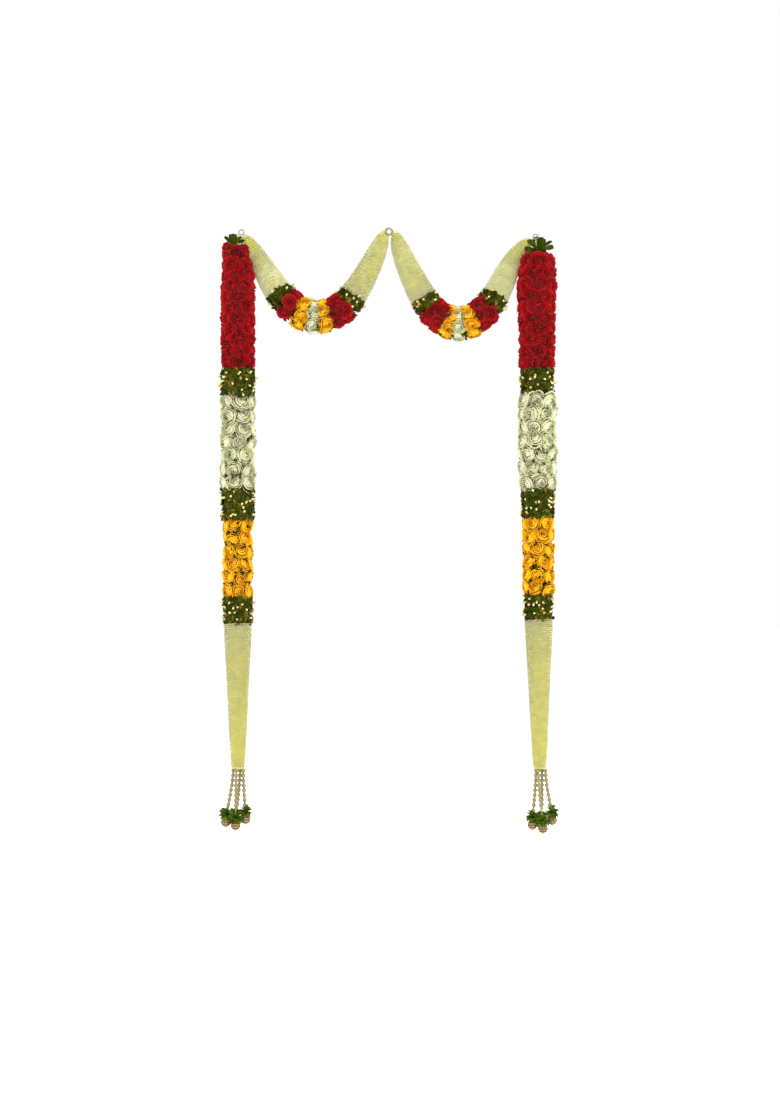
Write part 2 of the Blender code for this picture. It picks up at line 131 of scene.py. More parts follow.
def places_along(points):
    """How far along a line each point is, with a matrix: Z runs on, and X faces the front."""
    places = []
    gone = 0.0
    front = Vector((0.05, -1, 0.03))
    for index, point in enumerate(points):
        before = points[max(index - 1, 0)]
        after = points[min(index + 1, len(points) - 1)]
        onwards = (after - before).normalized()
        front = (front - onwards * front.dot(onwards)).normalized()
        turn = Matrix((front, onwards.cross(front), onwards)).transposed()
        if index:
            gone += (point - points[index - 1]).length
        places.append((gone, point, turn.to_quaternion()))
    return places


def place_at(places, distance):
    """The matrix of the line at a distance along it."""
    distance = min(max(distance, 0.0), places[-1][0])
    for (start, here, turn), (end, there, next_turn) in zip(places, places[1:]):
        if distance <= end:
            share = (distance - start) / (end - start)
            spot = here.lerp(there, share)
            return Matrix.Translation(spot) @ turn.slerp(next_turn, share).to_matrix().to_4x4()


def spot_round(angle, radius, height=0.0):
    """A point at an angle round Z, a radius and a height."""
    return Vector((radius * math.cos(angle), radius * math.sin(angle), height))


def sleeve(bm, places, radius_at, sides, steps, finish=0, start=0.0, end=None):
    """A closed tube round a line or a stretch of it, bent from a flat sheet.

    radius_at is its radius, or a function that gives one for a share of the way along.
    """
    end = places[-1][0] if end is None else end
    grid = bmesh.ops.create_grid(bm, x_segments=sides, y_segments=steps, size=0.5)
    verts = grid["verts"]
    for vert in verts:
        share = vert.co.y + 0.5
        radius = radius_at(share) if callable(radius_at) else radius_at
        place = place_at(places, start + (end - start) * share)
        vert.co = place @ spot_round(math.tau * (vert.co.x + 0.5), radius)
    faces = {face for vert in verts for face in vert.link_faces}
    bmesh.ops.remove_doubles(bm, verts=verts, dist=1e-6)
    shell = [face for face in faces if face.is_valid]
    rims = [edge for edge in {edge for face in shell for edge in face.edges} if edge.is_boundary]
    shell += bmesh.ops.holes_fill(bm, edges=rims, sides=0)["faces"]
    bmesh.ops.recalc_face_normals(bm, faces=shell)
    for face in shell:
        face.material_index = finish


def colour(text):
    """An sRGB hex colour as the linear one that a shader takes."""
    parts = [int(text[i : i + 2], 16) / 255 for i in (1, 3, 5)]
    linear = [c / 12.92 if c <= 0.04045 else ((c + 0.055) / 1.055) ** 2.4 for c in parts]
    return (*linear, 1.0)


def fill_inputs(tree, node, inputs):
    """Give a node its inputs: each is a value, a hex colour or the output that feeds it."""
    for name, value in inputs.items():
        if isinstance(value, bpy.types.NodeSocket):
            tree.links.new(value, node.inputs[name])
        else:
            node.inputs[name].default_value = colour(value) if isinstance(value, str) else value


def add_node(material, kind, inputs=None, out=0, **settings):
    """Add a node with its settings and its inputs, and give back the output that is used."""
    node = material.node_tree.nodes.new("ShaderNode" + kind)
    for name, value in settings.items():
        setattr(node, name, value)
    fill_inputs(material.node_tree, node, inputs or {})
    return node.outputs[out]


BLEND = {"out": 2, "data_type": "RGBA"}


def paint(material, **sockets):
    """Set inputs of a material's Principled shader, named with underscores for spaces."""
    shader = material.node_tree.nodes["Principled BSDF"]
    inputs = {socket.replace("_", " "): value for socket, value in sockets.items()}
    fill_inputs(material.node_tree, shader, inputs)
    return material


def new_material(name, **sockets):
    """A material, with the plain values of its Principled shader."""
    material = bpy.data.materials.new(name)
    material.use_nodes = True
    return paint(material, **sockets)


def clouded_material(name, deep, pale, scale, detail, bump=None, **sockets):
    """A material that wanders between two colours, as clouds of a noise.

    scale is how many clouds lie in a metre, so 1000 is one a millimetre. bump is the
    strength and the depth of the roughness that goes with them.
    """
    material = new_material(name, **sockets)
    node = partial(add_node, material)
    where = node("TexCoord", out="Object")
    cloud = node("TexNoise", {"Vector": where, "Scale": scale, "Detail": detail})
    tone = node("Mix", {0: cloud, 6: deep, 7: pale}, **BLEND)
    if bump:
        strength, depth = bump
        bumps = {"Height": cloud, "Strength": strength, "Distance": depth}
        paint(material, Normal=node("Bump", bumps))
    return paint(material, Base_Color=tone)


def make_mesh(name, bm):
    """The mesh of a bmesh, which is used up."""
    mesh = bpy.data.meshes.new(name)
    bm.to_mesh(mesh)
    bm.free()
    return mesh


def finish_piece(name, bm, materials, slot, *nodes):
    """Make a piece of a bmesh, which rides on the garland and stands for its CAD nodes."""
    mesh = make_mesh(name, bm)
    for material in materials:
        mesh.materials.append(material)
    mesh.shade_smooth()
    piece = bpy.data.objects.new(name, mesh)
    bpy.context.collection.objects.link(piece)
    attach(piece, "root")
    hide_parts(*nodes)
    return piece


# Undyed cotton: dull and slightly hairy, so no gloss and a fine rough fibre.
cotton = clouded_material(
    "twisted undyed cotton", "#9A8B66", "#D9CFAE", 900, 3, (0.6, 0.4 * MM), Roughness=0.9
)


def twisted_cord(bm, places, length):
    """Three plies wound round the start of a line, each a sleeve round its own helix."""
    steps = int(length / CORD_LAY * 6)
    for ply in range(3):
        spots = []
        for step in range(steps + 1):
            share = step / steps
            place = place_at(places, length * share)
            angle = math.tau * (length * share / CORD_LAY + ply / 3)
            spots.append(place @ spot_round(angle, 0.5 * CORD_RADIUS))
        sleeve(bm, places_along(spots), 0.55 * CORD_RADIUS, 5, steps)


def ball_at(bm, centre, radius, across=12, down=8, finish=0):
    """A bead, knot or pearl."""
    ball = bmesh.ops.create_uvsphere(bm, u_segments=across, v_segments=down, radius=radius)
    bmesh.ops.translate(bm, verts=ball["verts"], vec=centre)
    for face in {face for vert in ball["verts"] for face in vert.link_faces}:
        face.material_index = finish
    return ball["verts"]


def middle_of(node):
    """The middle of a CAD node."""
    low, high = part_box(node)
    return (low + high) / 2


def string_spot(side, height):
    """The middle of a string at a height, from the CAD bands above and below."""
    upper = middle_of(f"{side}_white_rose_band")
    lower = middle_of(f"{side}_tuberose_taper")
    return upper.lerp(lower, (height - upper.z) / (lower.z - upper.z))


def cord_knot(bm, spot, radius):
    """An overhand knot: a lump with two turns of cord over it."""
    ball_at(bm, spot, 0.8 * radius, 10, 7)
    for turn in (0.0, math.pi / 2):
        loop = []
        for step in range(17):
            angle = math.tau * step / 16
            flat = Vector((math.cos(angle), math.sin(angle), 0.35 * math.sin(2 * angle)))
            loop.append(spot + Matrix.Rotation(turn + 0.6, 3, "X") @ flat * (0.75 * radius))
        sleeve(bm, places_along(loop), 0.3 * radius, 6, 16)


def hoop(bm, centre, radius, thickness, steps, up=(0, 1, 0), finish=0):
    """A closed hoop of thread or wire, which runs from +X towards up."""
    loop = []
    for step in range(steps + 1):
        angle = math.tau * step / steps
        way = math.cos(angle) * Vector((1, 0, 0)) + math.sin(angle) * Vector(up)
        loop.append(centre + radius * way)
    sleeve(bm, places_along(loop), thickness, 6, steps, finish)


swag_places = {}
for side, route in SWAG_ROUTES.items():
    swag_places[side] = places_along(smooth_line(route, 6 * MM))
    bm = bmesh.new()
    low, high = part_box(f"{side}_string_cord")
    top = string_spot(side, high.z - STRING_KNOT)
    disc = string_spot(side, low.z + 2 * MM)
    line = places_along([top.lerp(disc, step / 12) for step in range(13)])
    visible = 60 * MM
    twisted_cord(bm, line, visible)
    sleeve(bm, line, 0.8 * CORD_RADIUS, 6, 8, start=visible)
    cord_knot(bm, top, STRING_KNOT)
    for rise, girth in ((1.2, 1.0), (0.0, 0.97), (-1.2, 0.9)):
        radius = girth * (WHIPPING_RADIUS - 1 * MM)
        hoop(bm, Vector((disc.x, 0, disc.z + rise * MM)), radius, THREAD_RADIUS, 24)
    radius = WHIPPING_RADIUS - 2 * MM
    size = {"segments": 20, "radius1": radius, "radius2": radius, "depth": 3 * MM}
    plate = bmesh.ops.create_cone(bm, cap_ends=True, **size)
    bmesh.ops.translate(bm, verts=plate["verts"], vec=disc)
    finish_piece(f"{side}_string_twisted_cord", bm, [cotton], "garland_cord", f"{side}_string_cord")

    bm = bmesh.new()
    first, last = (mm(*knot) for knot in RING_KNOTS[side])
    line = places_along([first, *smooth_line(route, 26 * MM), last])
    sleeve(bm, line, 0.85 * CORD_RADIUS, 6, 60)
    for knot in (first, last):
        cord_knot(bm, knot, SWAG_KNOT)
    finish_piece(f"{side}_swag_twisted_cord", bm, [cotton], "garland_cord", f"{side}_swag_cord")


# Pearl rings --------------------------------------------------------------------------
# Moulded plastic pearls threaded into a small ring: cream ones in the middle, smaller
# silver grey ones at the corners. A nail goes through each ring.

# Lacquered plastic pearl: a soft milky coat over it, a little deeper in patches.
PEARL_COAT = dict(Roughness=0.32, Specular_IOR_Level=0.3, Coat_Weight=0.1, Coat_Roughness=0.15)
cream_pearl = clouded_material("cream lacquered plastic pearl", "#796F46", "#969062", 160, 2, **PEARL_COAT)
silver_pearl = clouded_material(
    "silver grey lacquered plastic pearl", "#7C7874", "#A8A49C", 160, 2, **PEARL_COAT
)

# Each ring: its radius, then its pearls' radius, number and finish, and its slot.
RING_SIZES = {
    "middle": (11 * MM, 4.0 * MM, 10, cream_pearl, "cream_pearls"),
    "left": (8.5 * MM, 3.0 * MM, 9, silver_pearl, "silver_pearls"),
    "right": (8.5 * MM, 3.0 * MM, 9, silver_pearl, "silver_pearls"),
}
for side, (radius, pearl, count, finish, slot) in RING_SIZES.items():
    centre = middle_of(f"{side}_hanging_ring")
    bm = bmesh.new()
    for number in range(count):
        angle = math.tau * (number + 0.5) / count
        spot = centre + radius * Vector((math.cos(angle), 0, math.sin(angle)))
        ball_at(bm, spot, pearl * 0.96, 16, 10)
    hoop(bm, centre, radius, THREAD_RADIUS, 30, up=(0, 0, 1), finish=1)
    finish_piece(f"{side}_pearl_ring", bm, [finish, cotton], slot, f"{side}_hanging_ring")


# Red roses ----------------------------------------------------------------------------
# Fresh red rose heads, each threaded through its base so that it faces outwards. They are
# pressed together in rows, so little of their green sepals shows between them.


def petal_sheet(bm, turn, foot, lean, length, width, whorl, chance, across=4, along=4):
    """One petal: a sheet wrapped round the flower's axis, which leans out as it rises.

    lean is the angle from the axis at the petal's foot and at its lip.
    """
    grid = bmesh.ops.create_grid(bm, x_segments=across, y_segments=along, size=1.0)
    marks = bm.verts.layers.float_vector["petal"]
    sway = chance.uniform(-7, 7)
    length *= chance.uniform(0.93, 1.05)
    crimp = chance.uniform(-0.04, 0.04)
    ripple = chance.uniform(0, math.tau)
    tuck = chance.uniform(0.6, 1.3) * MM
    for vert in grid["verts"]:
        mark = Vector((vert.co.x, (vert.co.y + 1) / 2, whorl))
        upper = max(0.0, vert.co.y)
        aside = vert.co.x * math.sqrt(1 - 0.38 * upper**2)
        rise = (vert.co.y * math.sqrt(1 - 0.38 * vert.co.x**2) + 1) / 2 if upper else mark.y
        reached = rise * (1 + crimp * aside) * length
        radius, height = foot, 0.0
        for step in range(8):
            share = (step + 0.5) / 8
            if share * length > reached:
                break
            angle = math.radians(lean[0] + (lean[1] - lean[0]) * share**2 + sway * share)
            radius += math.sin(angle) * length / 8
            height += math.cos(angle) * length / 8
        spread = width / 2 * (0.45 + 0.55 * math.sin(math.pi / 2 * min(1.0, rise * 1.4)))
        radius += tuck * aside
        height += 0.9 * MM * rise**3 * math.sin(4.5 * aside + ripple)
        vert.co = spot_round(turn + aside * min(spread / radius, 2.0), radius, height)
        vert[marks] = mark


def flower_base():
    """An empty bmesh with the marks that the petal and leaf materials read.

    petal holds how far a point lies aside and along its petal, and the petal's whorl;
    tint is the flower's own shade.
    """
    bm = bmesh.new()
    bm.verts.layers.float_vector.new("petal")
    bm.verts.layers.float.new("tint")
    return bm


def rose_head(name, whorls, sepals, seed):
    """A rose head on +Z: whorls of petals from the heart outwards, and sepals under them.

    A whorl is its number of petals, foot radius, lean at foot and lip, length and width.
    The sepals are the same, without the radius.
    """
    chance = random.Random(seed)
    bm = flower_base()
    turn = chance.uniform(0, math.tau)
    for number, (count, foot, lean, length, width) in enumerate(whorls):
        whorl = number / (len(whorls) - 1)
        turn += math.pi / count
        for petal in range(count):
            way = turn + math.tau * petal / count + chance.uniform(-0.12, 0.12)
            size = (foot * MM, lean, length * MM, width * MM)
            petal_sheet(bm, way, *size, whorl, chance, 4 if whorl < 0.5 else 6)
    petals = set(bm.faces)
    count, lean, length, width = sepals
    for sepal in range(count):
        way = math.tau * sepal / count + chance.uniform(-0.3, 0.3)
        petal_sheet(bm, way, 3 * MM, lean, length * MM, width * MM, 0.0, chance, 2, 3)
    for face in bm.faces:
        if face not in petals:
            face.material_index = 1
    return make_mesh(name, bm)


def stamp(bm, template, place, tint):
    """Add a copy of a flower or a leaf to a piece, at a place and in a shade of its own."""
    start = len(bm.verts)
    copy = template.copy()
    copy.transform(place)
    bm.from_mesh(copy)
    bpy.data.meshes.remove(copy)
    bm.verts.ensure_lookup_table()
    shade = bm.verts.layers.float["tint"]
    for vert in bm.verts[start:]:
        vert[shade] = tint


def facing(place, angle, radius, tip=0.0, spin=0.0, size=(1, 1, 1)):
    """A flower's place beside a line: at an angle round it and a radius, facing outwards."""
    return (
        place
        @ Matrix.Rotation(angle, 4, "Z")
        @ Matrix.Translation((radius, 0, 0))
        @ Matrix.Rotation(math.pi / 2 - tip, 4, "Y")
        @ Matrix.Diagonal((*size, 1))
        @ Matrix.Rotation(spin, 4, "Z")
    )


def flower_material(name, **sockets):
    """A material for petals or leaves, with what it reads off them.

    That is their petal marks, whole and split into X, Y and Z, and their tint.
    """
    material = new_material(name, **sockets)
    marks = add_node(material, "Attribute", out="Vector", attribute_name="petal")
    split = add_node(material, "SeparateXYZ", {"Vector": marks}).node.outputs
    tint = add_node(material, "Attribute", out="Fac", attribute_name="tint")
    return material, marks, split, tint


def petal_material(name, heart, blade, rim, fold, rim_width):
    """Fresh petal: velvety, so it has sheen and no gloss, with fine veins along it.

    heart and blade are the colours of the inner and the outer whorls, and rim of the lip.
    fold is painted shade at the foot, down in the flower, where the whorls shade each
    other; where it is paler than the blade it is painted light there. rim_width says where
    up the petal its rim begins, and how strong it gets.
    """
    material, marks, split, tint = flower_material(
        name, Roughness=0.62, Specular_IOR_Level=0.12, Sheen_Weight=0.05, Sheen_Roughness=0.4
    )
    node = partial(add_node, material)
    by_whorl = node("Mix", {0: split["Z"], 6: heart, 7: blade}, **BLEND)
    begins, strength = rim_width
    reach = {"Value": split["Y"], "From Min": begins, "From Max": 1.0, "To Max": strength}
    lip = node("MapRange", reach)
    rimmed = node("Mix", {0: lip, 6: by_whorl, 7: rim}, **BLEND)
    # The fold colour takes over towards the petal's foot: painted shade down in the flower.
    reach = {"Value": split["Y"], "From Min": 0.6, "From Max": 0.05, "To Max": 0.85}
    deep = node("MapRange", reach)
    folded = node("Mix", {0: deep, 6: rimmed, 7: fold}, **BLEND)
    where = node("TexCoord", out="Object")
    bruise = node("TexNoise", {"Vector": where, "Scale": 90.0, "Detail": 3.0})
    shade = node("Math", {0: tint, 1: 0.34, 2: 0.66}, operation="MULTIPLY_ADD")
    patch = node("Math", {0: bruise, 1: 0.36, 2: shade}, operation="MULTIPLY_ADD")
    shaded = node("HueSaturation", {"Value": patch, "Color": folded})
    stretch = node("Mapping", {"Vector": marks, "Scale": (14.0, 1.2, 5.0)})
    veins = node("TexNoise", {"Vector": stretch, "Scale": 1.0, "Detail": 2.0})
    ribs = node("Bump", {"Height": veins, "Strength": 0.35, "Distance": 0.6 * MM})
    return paint(material, Base_Color=shaded, Normal=ribs)


# Red petals: the fold colour is darker, painted shade at the petal feet.
red_petal = petal_material("red rose petal", "#A4090E", "#9C090D", "#BC242E", "#74040A", (0.9, 0.6))


def in_patches(material, tone, scale, contrast, levels):
    """A colour that is darker and lighter in patches, as growth and bruises leave it."""
    node = partial(add_node, material)
    where = node("TexCoord", out="Object")
    mottle = node("TexNoise", {"Vector": where, "Scale": scale, "Detail": 3.0})
    low, high = 0.5 - contrast, 0.5 + contrast
    dull, bright = levels
    reach = {"Value": mottle, "From Min": low, "From Max": high, "To Min": dull, "To Max": bright}
    patch = node("MapRange", reach)
    return node("HueSaturation", {"Value": patch, "Color": tone})


def leaf_material(name, deep, fresh, rib):
    """Sepal or leaf: waxy with hardly any gloss, and paler along the midrib and the edges.

    Leaves vary from deep to fresh, and the ones that are marked as wilted are yellow brown.
    """
    material, _, split, tint = flower_material(name, Roughness=0.55, Specular_IOR_Level=0.05)
    node = partial(add_node, material)
    tone = node("Mix", {0: tint, 6: deep, 7: fresh}, **BLEND)
    turned = node("Mix", {0: split["Z"], 6: tone, 7: "#80601A"}, **BLEND)
    aside = node("Math", {0: split["X"]}, operation="ABSOLUTE")
    reach = {"Value": aside, "From Min": 0.16, "From Max": 0.02, "To Max": 0.5}
    midrib = node("MapRange", reach)
    reach = {"Value": aside, "From Min": 0.55, "From Max": 1.0, "To Max": 0.55}
    edge = node("MapRange", reach)
    pale = node("Math", {0: midrib, 1: edge}, operation="MAXIMUM")
    ribbed = node("Mix", {0: pale, 6: turned, 7: rib}, **BLEND)
    mottled = in_patches(material, ribbed, 120.0, 0.2, (0.75, 1.15))
    slant = node("Math", {0: aside, 1: 0.5, 2: split["Y"]}, operation="MULTIPLY_ADD")
    side_veins = node("Math", {0: slant, 1: 40.0}, operation="MULTIPLY")
    waves = node("Math", {0: side_veins}, operation="SINE")
    ribs = node("Bump", {"Height": waves, "Strength": 0.3, "Distance": 0.5 * MM})
    return paint(material, Base_Color=mottled, Normal=ribs)


green_leaf = leaf_material("fresh green leaf", "#121A00", "#384403", "#566010")

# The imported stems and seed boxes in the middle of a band: dark, rough and matt.
stem_core = clouded_material(
    "packed green stems", "#141C02", "#343C08", 150, 4, (0.8, 2 * MM),
    Roughness=0.9, Specular_IOR_Level=0.03,
)

# Whorls and sepals as rose_head takes them, in mm and degrees.
RED_WHORLS = (
    (3, 2.6, (22, -40), 27, 16),
    (3, 4.2, (28, -26), 27, 26),
    (4, 5.4, (36, -8), 28, 30),
    (4, 6.4, (43, 18), 28, 36),
    (5, 7.4, (50, 52), 28, 38),
    (5, 8.0, (60, 98), 25, 36),
)
RED_SEPALS = (5, (60, 112), 28, 10)
red_heads = [rose_head(f"red_rose_{n}", RED_WHORLS, RED_SEPALS, 11 + n) for n in range(4)]


def leaf_sheet(name, length, width, fold, droop, tip=0.97, bulge=1, wilt=0, across=2, along=4):
    """A leaf on +Z, its upper side to +X, folded on its midrib and bent over to -X.

    tip is 1 for a sharp tip, and less for a blunt one; a bulge over 1 makes it widest
    near the tip; wilt is 1 for a leaf that has turned yellow.
    """
    bm = flower_base()
    grid = bmesh.ops.create_grid(bm, x_segments=across, y_segments=along, size=1.0)
    marks = bm.verts.layers.float_vector["petal"]
    for vert in grid["verts"]:
        aside = vert.co.x
        rise = (vert.co.y + 1) / 2
        half = width / 2 * math.sin(math.pi * (0.05 + (tip - 0.05) * rise**bulge)) ** 0.6
        bend = math.radians(droop) * rise
        reach = length * rise
        lift = fold * half * abs(aside)
        out = lift * math.cos(bend) - reach * math.sin(bend) * 0.5
        vert.co = (out, half * aside, reach * math.cos(bend * 0.5) + lift * math.sin(bend))
        vert[marks] = (aside, rise, wilt)
    return make_mesh(name, bm)


SEPAL_LEAF = leaf_sheet("rose_leaf", 25 * MM, 12 * MM, 0.3, 40)
for face in SEPAL_LEAF.polygons:
    face.material_index = 1


def blend_along(values, share):
    """The value at a share of the way along a row of evenly spaced values."""
    place = min(max(share, 0.0), 1.0) * (len(values) - 1)
    step = min(int(place), len(values) - 2)
    return values[step] + (values[step + 1] - values[step]) * (place - step)


def rose_band(node, stretch, look):
    """Rows of rose heads round a stretch of a line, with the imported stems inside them."""
    name = node.replace("rose_band", "roses")
    line, start, end = stretch
    chance = random.Random(name)
    bm = flower_base()
    length = end - start
    lead, trail = (min(0.5 * length, inset) for inset in look["insets"])
    rows = 1 + round((length - lead - trail) / look["row"])
    girth = look["girth"]
    squeeze = length / (rows - 1 + (lead + trail) / look["row"]) / look["row"]
    for row in range(rows):
        share = (lead + (length - lead - trail) * row / max(1, rows - 1)) / length
        outer = blend_along(girth, share)
        around = max(4, round(math.tau * (outer - 0.4 * look["depth"]) / look["spacing"]))
        first = chance.uniform(0, 1) if look["scatter"] else 0.5 * (row % 2)
        for number in range(around):
            along = start + length * share + chance.uniform(-1, 1) * look["stray"]
            angle = math.tau * (number + first) / around + chance.uniform(-0.08, 0.08)
            size = look["size"] * chance.uniform(0.9, 1.1)
            flat = size * look["flat"]
            sunk = look["depth"] * flat + chance.uniform(0, look["sunk"])
            tip = chance.uniform(-1, 1) * look["tilt"]
            spin = chance.uniform(0, math.tau)
            size = (size * min(1.1, max(0.8, squeeze)), size, flat)
            place = facing(place_at(line, along), angle, outer - sunk, tip, spin, size)
            stamp(bm, chance.choice(look["heads"]), place, chance.uniform(*look["tints"]))
    for leaf in range(look["leaves"]):
        along = start + length * chance.uniform(0.06, 0.94)
        outer = blend_along(girth, (along - start) / length)
        size = chance.uniform(0.85, 1.15)
        angle = chance.uniform(0, math.tau)
        radius = outer - chance.uniform(21, 25) * MM * size
        tip = chance.uniform(-0.5, 0.5)
        spin = chance.uniform(0, math.tau)
        place = facing(place_at(line, along), angle, radius, tip, spin, (size, size, size))
        stamp(bm, SEPAL_LEAF, place, chance.random())

    def core_radius(share):
        return blend_along(girth, share) - look["core"]

    sleeve(bm, line, core_radius, 14, max(3, rows * 2), finish=2, start=start, end=end)
    finish_piece(name, bm, [look["petal"], green_leaf, stem_core], look["slot"], node)


# How a kind of rose is threaded: row and spacing are the distances between its heads, and
# sunk, stray and tilt say how unevenly they sit. depth is a head's own, core is how deep
# the stems lie, and insets keep the first and the last row from the ends of the band.
RED_LOOK = dict(
    slot="red_roses", heads=red_heads, petal=red_petal, tints=(0.0, 1.0), leaves=14,
    row=36 * MM, spacing=44 * MM, insets=(33 * MM, 26 * MM), depth=25 * MM, core=24 * MM,
    size=1.06, flat=1.0, sunk=2.5 * MM, stray=3 * MM, tilt=0.42, scatter=False,
)
# Each string's red band in mm: its girth down it, how far its top is pushed aside by the
# swag's corner, and the inset of its first row.
STRING_RED = {
    "left": ((34, 50, 56, 57, 56, 56, 56, 56), -11, 36),
    "right": ((46, 60, 67, 65, 61, 60, 60, 60), 11, 44),
}
PUSHED_LENGTH = 90 * MM
for side, (girth, push, inset) in STRING_RED.items():
    node = f"{side}_red_rose_band"
    low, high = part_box(node)
    spots = []
    for step in range(11):
        height = high.z + (low.z - high.z) * step / 10
        pushed = max(0.0, 1 - (high.z - height) / PUSHED_LENGTH) * push * MM
        spots.append(string_spot(side, height) + Vector((pushed, 0, 0)))
    line = places_along(spots)
    look = dict(RED_LOOK, girth=[g * MM for g in girth], insets=(inset * MM, 26 * MM))
    rose_band(node, (line, 0.0, line[-1][0]), look)


def fan_place(foot, angle, lean, turn, grown=1.0):
    """A leaf's place in a fan: its foot, which way and how far it leans, its turn and size."""
    return (
        Matrix.Translation(foot)
        @ Matrix.Rotation(angle, 4, "Z")
        @ Matrix.Rotation(lean, 4, "Y")
        @ Matrix.Rotation(turn, 4, "Z")
        @ Matrix.Diagonal((grown, grown, grown, 1))
    )


# One small rose that has only half opened peeps out under the left tuft, with its leaves.
bm = flower_base()
place = (
    Matrix.Translation(mm(-530, -30, -62))
    @ Matrix.Rotation(math.radians(-40), 4, "Z")
    @ Matrix.Rotation(math.radians(84), 4, "X")
)
stamp(bm, red_heads[1], place @ Matrix.Diagonal((0.56, 0.56, 0.68, 1)), 0.9)
for turn, lean in ((-0.5, 1.3), (0.0, 1.5), (0.5, 1.3), (2.2, 1.8), (4.0, 1.8)):
    leaf = fan_place((0, 0, 0), turn - math.pi / 2, lean, math.pi)
    stamp(bm, SEPAL_LEAF, place @ leaf, 0.6)
finish_piece("left_red_rosebud", bm, [red_petal, green_leaf], "red_roses", "left_red_rose_band")

# Where each swag's bands begin in mm, from its first knot: the left one runs from the corner
# to the middle, and the right one from the middle to the corner.
SWAG_ENDS = {
    "left": (0, 231, 263, 318, 357, 388, 424, 499, 532),
    "right": (0, 238, 276, 349, 378, 410, 442, 513, 549),
}
SWAG_BANDS = (
    "outer_tuberose_tube", "outer_leaf_collar", "outer_red_rose_band",
    "outer_yellow_rose_band", "white_rose_band", "inner_yellow_rose_band",
    "inner_red_rose_band", "inner_leaf_collar", "inner_tuberose_tube",
)


def swag_bands(kind):
    """Each band of a kind on the swags: its node, and its line with its start and end."""
    for side, bands in (("left", SWAG_BANDS), ("right", SWAG_BANDS[::-1])):
        line = swag_places[side]
        ends = [end * MM for end in SWAG_ENDS[side]] + [line[-1][0]]
        for band, start, end in zip(bands, ends, ends[1:]):
            if kind in band:
                yield f"{side}_swag_{band}", (line, start, end)


for node, stretch in swag_bands("red_rose"):
    girth = (51 * MM, 53 * MM, 54 * MM, 53 * MM)
    insets = (22 * MM, 22 * MM)
    look = dict(RED_LOOK, girth=girth, size=0.92, row=31 * MM, insets=insets, leaves=6)
    rose_band(node, stretch, look)


# White roses --------------------------------------------------------------------------
# Small greenish cream roses with few, broad petals, loosely threaded, so that dark leaf
# shows between the heads.

# White petals: the fold colour and the heart are paler than the blade, painted light that lifts the shade
# at the petal feet and in the inner whorls.
white_petal = petal_material("white rose petal", "#D2D2AA", "#C8C8A0", "#D4D4B4", "#D6D6B0", (0.84, 0.6))
WHITE_WHORLS = (
    (3, 2.4, (20, -40), 22, 16),
    (3, 4.0, (34, -50), 23, 27),
    (3, 5.4, (48, -46), 24, 36),
    (5, 6.4, (58, -26), 24, 31),
    (5, 7.2, (66, 40), 19.5, 29.5),
)
PALE_SEPALS = (5, (60, 100), 24, 12)
white_heads = [rose_head(f"white_rose_{n}", WHITE_WHORLS, PALE_SEPALS, 31 + n) for n in range(4)]
WHITE_LOOK = dict(
    slot="white_roses", heads=white_heads, petal=white_petal, tints=(0.35, 0.75), leaves=90,
    row=42 * MM, spacing=47 * MM, insets=(22 * MM, 22 * MM), depth=18 * MM, core=22 * MM,
    size=1.46, flat=0.76, sunk=3 * MM, stray=6 * MM, tilt=0.5, scatter=True,
)


def straight_stretch(side, node):
    """The straight line down a string's band, with its start and end."""
    low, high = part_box(node)
    line = places_along([string_spot(side, high.z), string_spot(side, low.z)])
    return line, 0.0, line[-1][0]


def loose_roses(kind, look, girths, on_swags):
    """The bands of one kind of loosely threaded rose, on the strings and on the swags."""
    for side, girth in zip(("left", "right"), girths):
        node = f"{side}_{kind}_rose_band"
        rose_band(node, straight_stretch(side, node), dict(look, girth=(girth, girth)))
    for node, stretch in swag_bands(f"{kind}_rose"):
        rose_band(node, stretch, dict(look, **on_swags))


white_on_swags = {"girth": (56 * MM, 56 * MM), "size": 1.15, "leaves": 16}
loose_roses("white", WHITE_LOOK, (55 * MM, 60 * MM), white_on_swags)


# Yellow roses -------------------------------------------------------------------------
# Small orange yellow roses, fresh and threaded as loosely as the white ones. They are
# deeper at the heart, and pale along the lips of the petals.

# Yellow petals: the fold colour is darker, painted shade at the petal feet.
yellow_petal = petal_material("yellow rose petal", "#F0AA06", "#EAB004", "#F4C030", "#DA9E00", (0.8, 0.75))
YELLOW_WHORLS = (
    (3, 2.2, (20, -40), 21, 15),
    (3, 3.6, (34, -48), 22, 25),
    (3, 5.0, (46, -42), 23, 34),
    (5, 6.0, (58, -20), 22, 29),
    (5, 6.8, (66, 40), 17, 27),
)
yellow_heads = [rose_head(f"yellow_rose_{n}", YELLOW_WHORLS, PALE_SEPALS, 51 + n) for n in range(4)]
YELLOW_LOOK = dict(
    WHITE_LOOK, slot="yellow_roses", heads=yellow_heads, petal=yellow_petal,
    row=40 * MM, spacing=45 * MM, size=1.36,
)
yellow_on_swags = {"girth": (55 * MM, 55 * MM), "leaves": 14}
loose_roses("yellow", YELLOW_LOOK, (48 * MM, 51 * MM), yellow_on_swags)


# Leaf collars -------------------------------------------------------------------------
# Sprigs of small dark leaves threaded between the bands of roses, with cream tuberose
# buds and bits of brown stem among them.


def bud_body(name, length, radius):
    """A closed tuberose bud on +Z: narrow at its foot, blunt at its tip."""
    bm = flower_base()
    ball = bmesh.ops.create_uvsphere(bm, u_segments=8, v_segments=6, radius=1.0)
    marks = bm.verts.layers.float_vector["petal"]
    for vert in ball["verts"]:
        rise = (vert.co.z + 1) / 2
        girth = radius * (0.55 + 0.45 * rise)
        vert.co = Vector((vert.co.x * girth, vert.co.y * girth, rise * length))
        vert[marks] = (0.0, rise, 1.0)
    for face in bm.faces:
        face.material_index = 1
    return make_mesh(name, bm)


